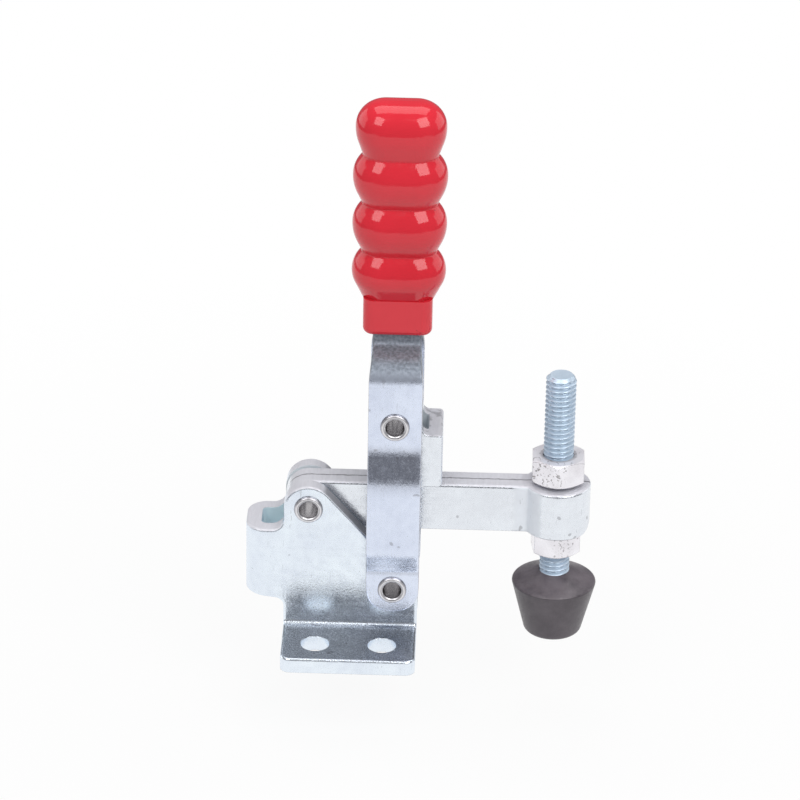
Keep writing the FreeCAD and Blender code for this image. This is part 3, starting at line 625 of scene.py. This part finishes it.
def bright_nickel(name, node=None):
    """Bright plating, pitted in patches, with matt turned ends.

    A nut names its node, so that shade is painted round its thread's mouth.
    """
    graph = Graph(name)
    cloud = graph.noise(NICKEL_CLOUD_SCALE)
    fine = graph.noise(NICKEL_FINE_SCALE, detail=2.0)
    graph.colour = graph.blend(graph.evened(cloud), NICKEL_PALE, NICKEL_DEEP)
    patch = graph.spread(graph.noise(PITTED_PATCH_SCALE, detail=1.0), *PITTED_PATCH_RANGE)
    specks = graph.spread(graph.noise(PITTED_SCALE), *PITTED_RANGE)
    graph.stain(graph.times(specks, patch), PITTED_DARK, PITTED_SHARE)
    graph.round_edges(NICKEL_WORN_WIDTH, NICKEL_WORN, NICKEL_WORN_SHARE)
    graph.rough = graph.evened(fine, *NICKEL_ROUGH)
    graph.metallic = 1.0
    ends = top_and_bottom(graph)
    graph.roughen(ends, TURNED_ROUGH)
    graph.dull(ends, TURNED_METAL)
    # Painted shade round the thread's mouth
    if node is not None:
        radius = graph.radius_from(middle_of(node), LEVEL_PLANE)
        graph.stain(graph.spread(radius, *MOUTH_RADII), MOUTH_SHADE, MOUTH_SHARE)
    graph.dent(cloud, *NICKEL_CLOUD_BUMP)
    graph.dent(fine, *NICKEL_FINE_BUMP)
    return graph.finish()


def rivet_steel(name, node):
    """Plated tubular rivet: painted highlights and shade in rings on its rim, a pale bore
    and painted shade where it seats.
    """
    graph = Graph(name)
    radius = graph.radius_from(middle_of(node), UPRIGHT_PLANE)
    cloud = graph.noise(RIVET_CLOUD_SCALE)
    fine = graph.noise(RIVET_FINE_SCALE, detail=2.0)
    graph.colour = graph.blend(graph.evened(cloud), RIVET_PALE, RIVET_DEEP)
    # Painted shade at the seat, then painted highlights and shade in rings on the rim
    graph.stain(graph.spread(radius, *SEAT_RADII), SEAT_SHADE, SEAT_SHARE)
    for line, width, tone in PAINTED_RIM_RINGS:
        away = graph.away_from(line * MM, radius)
        ring = graph.spread(away, width * MM, RIM_CORE * width * MM)
        graph.stain(ring, (tone, tone, tone, 1.0), RIM_SHARE)
    bore = graph.spread(radius, *BORE_RADII)
    graph.stain(bore, BORE_GREY)
    graph.rough = graph.evened(fine, *RIVET_ROUGH)
    graph.roughen(bore, BORE_ROUGH)
    graph.metallic = 1.0
    graph.dent(cloud, *RIVET_CLOUD_BUMP)
    graph.dent(fine, *RIVET_FINE_BUMP)
    return graph.finish()


def blued_zinc(name):
    """Pale blue plating on the rolled thread, darker in patches, with a matt end."""
    graph = Graph(name)
    cloud = graph.noise(BLUE_CLOUD_SCALE)
    fine = graph.noise(BLUE_FINE_SCALE, detail=2.0)
    graph.colour = graph.blend(graph.evened(cloud), BLUE_PALE, BLUE_DEEP)
    graph.rough = graph.evened(fine, *BLUE_ROUGH)
    graph.metallic = BLUE_METAL
    ends = top_and_bottom(graph)
    graph.roughen(ends, TURNED_ROUGH)
    graph.dull(ends, TURNED_METAL)
    graph.dent(fine, *BLUE_FINE_BUMP)
    return graph.finish()


# Grip and tip

VINYL_PALE = (0.66, 0.024, 0.040, 1.0)
VINYL_DEEP = (0.60, 0.020, 0.034, 1.0)
VINYL_CLOUD_SCALE = 70.0
VINYL_CLOUD_BUMP = (0.12 * MM, 0.35)
RIPPLE_SCALE = 190.0
RIPPLE_BUMP = (0.08 * MM, 0.6)
SPECK_RED = (0.30, 0.010, 0.018, 1.0)
SPECK_SCALE = 520.0
SPECK_RANGE = (0.76, 0.80)
SPECK_BUMP = (0.01 * MM, 0.25)
SCUFF_SCALES = (900.0, 900.0, 160.0)
SCUFF_RANGE = (0.35, 0.75)
VINYL_ROUGH = (0.07, 0.16)

RUBBER_DARK = (0.062, 0.052, 0.062, 1.0)
RUBBER_DUSTY = (0.115, 0.100, 0.114, 1.0)
# Painted light on the tip's upward slope
RUBBER_TOP_LIGHT = (0.155, 0.135, 0.150, 1.0)
RUBBER_ROUGH = (0.30, 0.45)
DUST_SCALE = 160.0
DUST_RANGE = (0.35, 0.75)
TOP_LIGHT_FACING = (0.2, 0.6)
RUBBER_PIT_SCALE = 2200.0
RUBBER_PIT_BUMP = (0.03 * MM, 0.5)


def dipped_vinyl(name):
    """Glossy red vinyl: slow ripples, a few specks and faint scuffs."""
    graph = Graph(name)
    cloud = graph.noise(VINYL_CLOUD_SCALE)
    speck = graph.noise(SPECK_SCALE, detail=1.0)
    scuff = graph.streaks(SCUFF_SCALES, detail=3.0)
    graph.colour = graph.blend(graph.evened(cloud), VINYL_PALE, VINYL_DEEP)
    graph.stain(graph.spread(speck, *SPECK_RANGE), SPECK_RED)
    graph.rough = graph.spread(scuff, *SCUFF_RANGE, *VINYL_ROUGH)
    graph.dent(cloud, *VINYL_CLOUD_BUMP)
    graph.dent(graph.noise(RIPPLE_SCALE, detail=2.0), *RIPPLE_BUMP)
    graph.dent(speck, *SPECK_BUMP)
    return graph.finish()


def moulded_rubber(name):
    """Matt black rubber, finely pitted and dusty, with painted light in patches on its
    upward slope.
    """
    graph = Graph(name)
    dust = graph.noise(DUST_SCALE, detail=5.0, roughness=0.65)
    pits = graph.noise(RUBBER_PIT_SCALE, detail=2.0)
    dusty = graph.spread(dust, *DUST_RANGE)
    graph.colour = graph.blend(dusty, RUBBER_DARK, RUBBER_DUSTY)
    # Painted light in patches on upward faces
    upward = graph.spread(graph.facing_on("Z"), *TOP_LIGHT_FACING)
    graph.stain(graph.times(upward, graph.evened(dust)), RUBBER_TOP_LIGHT)
    graph.rough = graph.evened(pits, *RUBBER_ROUGH)
    graph.dent(pits, *RUBBER_PIT_BUMP)
    return graph.finish()


def dress():
    """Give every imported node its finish."""
    base = plated_steel(
        "base_zinc",
        ZINC_PALE,
        ZINC_DEEP,
        grain=ACROSS_SHEET,
        blank=above_flanges,
        shaded=painted_shade_places,
        shade=0.8,
        inside=painted_light_in_base,
    )
    strips = plated_steel(
        "strip_zinc",
        STRIP_PALE,
        STRIP_DEEP,
        grain=ALONG_HANDLE,
        blank=across_plate,
        shaded=painted_shade_slopes,
        shade=0.25,
        # Painted shade and dull plating on the bends below the grip
        formed=under_grip,
        painted_shade_tone=0.9,
        formed_metal=0.3,
    )
    arm = plated_steel(
        "arm_zinc",
        ARM_PALE,
        ARM_DEEP,
        grain=ACROSS_SHEET,
        blank=top_and_bottom,
        shaded=arm_seam,
        shade=1.0,
        formed=beside_eye,
        formed_rough=0.6,
        formed_metal=0.35,
    )
    link = plated_steel(
        "link_zinc",
        ARM_PALE,
        ARM_DEEP,
        grain=ALONG_HANDLE,
        blank=top_and_bottom,
        shaded=end_smudges,
        shade=0.6,
        inside=painted_light_in_link,
    )
    nickel = bright_nickel("bright_nickel")
    finishes = {
        "base_bracket": base,
        "arm_plate_front": arm,
        "arm_plate_rear": arm,
        "toggle_link": link,
        "handle_strip_front": strips,
        "handle_strip_rear": strips,
        "hand_grip": dipped_vinyl("red_vinyl"),
        "arm_rivet": rivet_steel("arm_rivet_steel", "arm_rivet"),
        "handle_rivet": rivet_steel("handle_rivet_steel", "handle_rivet"),
        "upper_link_rivet": rivet_steel("upper_rivet_steel", "upper_link_rivet"),
        "lower_link_rivet": rivet_steel("lower_rivet_steel", "lower_link_rivet"),
        "base_spacer": nickel,
        "link_spacer": nickel,
        "spindle": blued_zinc("spindle_zinc"),
        "upper_nut": bright_nickel("upper_nut_nickel", "upper_nut"),
        "lower_nut": bright_nickel("lower_nut_nickel", "lower_nut"),
        "rubber_tip": moulded_rubber("black_rubber"),
    }
    for name, material in finishes.items():
        mesh = nodes[name].data
        mesh.materials.clear()
        mesh.materials.append(material)
    return finishes


# Threaded spindle

PITCH = 1.0 * MM
CREST_RADIUS = 2.95 * MM
# Shares of the pitch: the thread's depth, and the flats on its crest and at its root
ROOT_SHARE = 0.61
CREST_SHARE = 0.125
VALLEY_SHARE = 0.2
ROWS_PER_PITCH = 12
SIDES = 72
HEAD_HEIGHT = 4.0 * MM
HEAD_SIDES = 6
END_CHAMFER = 0.8 * MM


def thread_height(phase):
    """Height of a thread's flank between root 0 and crest 1, at a share of the pitch."""
    away = abs((phase % 1.0) - 0.5) * 2
    flank = (away - CREST_SHARE) / (1 - CREST_SHARE - VALLEY_SHARE)
    return 1 - min(1.0, max(0.0, flank))


def add_ring(mesh, axis, radii, z):
    """Vertices evenly round an upright axis, one for each radius."""
    ring = []
    for side, radius in enumerate(radii):
        angle = 2 * math.pi * side / len(radii)
        x = axis.x + radius * math.cos(angle)
        y = axis.y + radius * math.sin(angle)
        ring.append(mesh.verts.new((x, y, z)))
    return ring


def add_wall(mesh, lower, upper):
    """Faces between two rings."""
    for side in range(len(lower)):
        after = (side + 1) % len(lower)
        mesh.faces.new((lower[side], lower[after], upper[after], upper[side]))


def make_thread(material):
    """The spindle with its thread cut as a helix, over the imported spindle."""
    low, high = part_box("spindle")
    axis = (low + high) / 2
    root = CREST_RADIUS - PITCH * ROOT_SHARE
    head_top = low.z + HEAD_HEIGHT
    mesh = bmesh.new()
    rows = int((high.z - head_top) / PITCH * ROWS_PER_PITCH)
    rings = []
    for row in range(rows + 1):
        z = head_top + (high.z - head_top) * row / rows
        limit = CREST_RADIUS - max(0.0, END_CHAMFER - (high.z - z))
        radii = []
        for side in range(SIDES):
            height = thread_height(z / PITCH - side / SIDES)
            radii.append(min(limit, root + (CREST_RADIUS - root) * height))
        rings.append(add_ring(mesh, axis, radii, z))
    for lower, upper in zip(rings, rings[1:]):
        add_wall(mesh, lower, upper)
    mesh.faces.new(rings[-1])
    mesh.faces.new(rings[0][::-1])
    head_radii = [(high.x - low.x) / 2] * HEAD_SIDES
    foot = add_ring(mesh, axis, head_radii, low.z)
    shoulder = add_ring(mesh, axis, head_radii, head_top)
    mesh.faces.new(foot[::-1])
    mesh.faces.new(shoulder)
    add_wall(mesh, foot, shoulder)
    data = bpy.data.meshes.new("spindle_thread")
    mesh.to_mesh(data)
    mesh.free()
    data.materials.append(material)
    for face in data.polygons:
        face.use_smooth = len(face.vertices) == 4 and face.index < rows * SIDES
    piece = bpy.data.objects.new("spindle_thread", data)
    bpy.context.scene.collection.objects.link(piece)
    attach(piece, "spindle")
    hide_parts("spindle")
    return piece


# Floor, room and lamps

FLOOR_REACH = 0.38
FLOOR_CELLS = 8
FLOOR_DROP = 15.5 * MM
FLOOR_WHITE = 0.64
FLOOR_GLOW_NEAR = 0.91
FLOOR_FADE = (0.05, 0.20)
WHITE = (1.0, 1.0, 1.0, 1.0)
AMBIENT = 0.28
ROOM_GREY = 0.21
ROOM_BLUE = 1.06
LAMP_POWER = 4.0  # watts a square metre at level 1

# Name, azimuth and elevation in degrees, distance, width and height in metres, level
LAMPS = (
    ("right_lamp", 37.0, 45.0, 1.0, 0.66, 0.68, 3.2),
    ("left_lamp", -37.0, 45.0, 1.0, 0.54, 0.58, 2.9),
    ("top_lamp", 0.0, 105.0, 1.1, 1.2, 0.8, 1.6),
    ("right_wall", 112.0, 14.0, 1.0, 0.9, 0.6, 0.9),
    ("left_wall", -112.0, 14.0, 1.0, 0.9, 0.6, 0.9),
)


def is_seen(tree):
    """1 for camera, glossy and transmission rays."""
    rays = add_node(tree, "ShaderNodeLightPath").outputs
    both = add_maths(tree, "MAXIMUM", rays["Is Camera Ray"], rays["Is Glossy Ray"])
    return add_maths(tree, "MAXIMUM", both, rays["Is Transmission Ray"])


def floor_material():
    """Pale paint that glows white where it is seen, and less beneath the clamp."""
    material = bpy.data.materials.new("pale_floor")
    material.use_nodes = True
    tree = material.node_tree
    tree.nodes.clear()
    pale = (FLOOR_WHITE, FLOOR_WHITE, FLOOR_WHITE, 1.0)
    paint = add_node(tree, "ShaderNodeBsdfDiffuse", {"Color": pale})
    glow = add_node(tree, "ShaderNodeEmission", {"Color": WHITE, "Strength": 1.0})
    place = add_node(tree, "ShaderNodeTexCoord").outputs["Object"]
    away = add_node(tree, "ShaderNodeVectorMath", {0: place}, operation="LENGTH")
    fade = {
        "Value": away.outputs["Value"],
        "From Min": FLOOR_FADE[0],
        "From Max": FLOOR_FADE[1],
        "To Min": FLOOR_GLOW_NEAR,
        "To Max": 1.0,
    }
    glow_share = add_node(tree, "ShaderNodeMapRange", fade).outputs[0]
    share = add_maths(tree, "MULTIPLY", is_seen(tree), glow_share)
    layers = {0: share, 1: paint.outputs[0], 2: glow.outputs[0]}
    mix = add_node(tree, "ShaderNodeMixShader", layers)
    add_node(tree, "ShaderNodeOutputMaterial", {"Surface": mix.outputs[0]})
    return material


def make_floor():
    """A floor that takes a soft shadow, below the tip when it is screwed down."""
    mesh = bmesh.new()
    bmesh.ops.create_grid(
        mesh, x_segments=FLOOR_CELLS, y_segments=FLOOR_CELLS, size=FLOOR_REACH
    )
    data = bpy.data.meshes.new("floor")
    mesh.to_mesh(data)
    mesh.free()
    floor = bpy.data.objects.new("floor", data)
    floor.location.z = cad_box[0][2] - FLOOR_DROP
    bpy.context.scene.collection.objects.link(floor)
    data.materials.append(floor_material())


def make_room():
    """A grey room for reflections, white where the camera sees past the floor."""
    world = bpy.data.worlds.new("room")
    world.use_nodes = True
    tree = world.node_tree
    tree.nodes.clear()
    rays = add_node(tree, "ShaderNodeLightPath").outputs
    ambient = (AMBIENT, AMBIENT, AMBIENT, 1.0)
    mirrored = (ROOM_GREY, ROOM_GREY, ROOM_GREY * ROOM_BLUE, 1.0)
    plain = add_colour_mix(tree, rays["Is Glossy Ray"], ambient, mirrored)
    shown = add_colour_mix(tree, rays["Is Camera Ray"], plain, WHITE)
    background = add_node(tree, "ShaderNodeBackground", {"Color": shown})
    add_node(tree, "ShaderNodeOutputWorld", {"Surface": background.outputs[0]})
    bpy.context.scene.world = world


def make_softbox(name, azimuth, elevation, distance, width, height, level):
    """A rectangular lamp that faces the clamp.

    Azimuth runs from the camera's side to the right.
    """
    data = bpy.data.lights.new(name, "AREA")
    data.shape = "RECTANGLE"
    data.size = width
    data.size_y = height
    data.energy = level * LAMP_POWER * width * height
    lamp = bpy.data.objects.new(name, data)
    turn = math.radians(azimuth)
    rise = math.radians(elevation)
    outward = Vector(
        (
            math.sin(turn) * math.cos(rise),
            -math.cos(turn) * math.cos(rise),
            math.sin(rise),
        )
    )
    lamp.rotation_mode = "QUATERNION"
    lamp.rotation_quaternion = outward.to_track_quat("Z", "Y")
    lamp.location = CAMERA_TARGET + outward * distance
    bpy.context.scene.collection.objects.link(lamp)


make_camera()
finishes = dress()
make_thread(finishes["spindle"])
make_floor()
make_room()
for lamp_settings in LAMPS:
    make_softbox(*lamp_settings)

scene = bpy.context.scene
scene.view_settings.view_transform = "Standard"
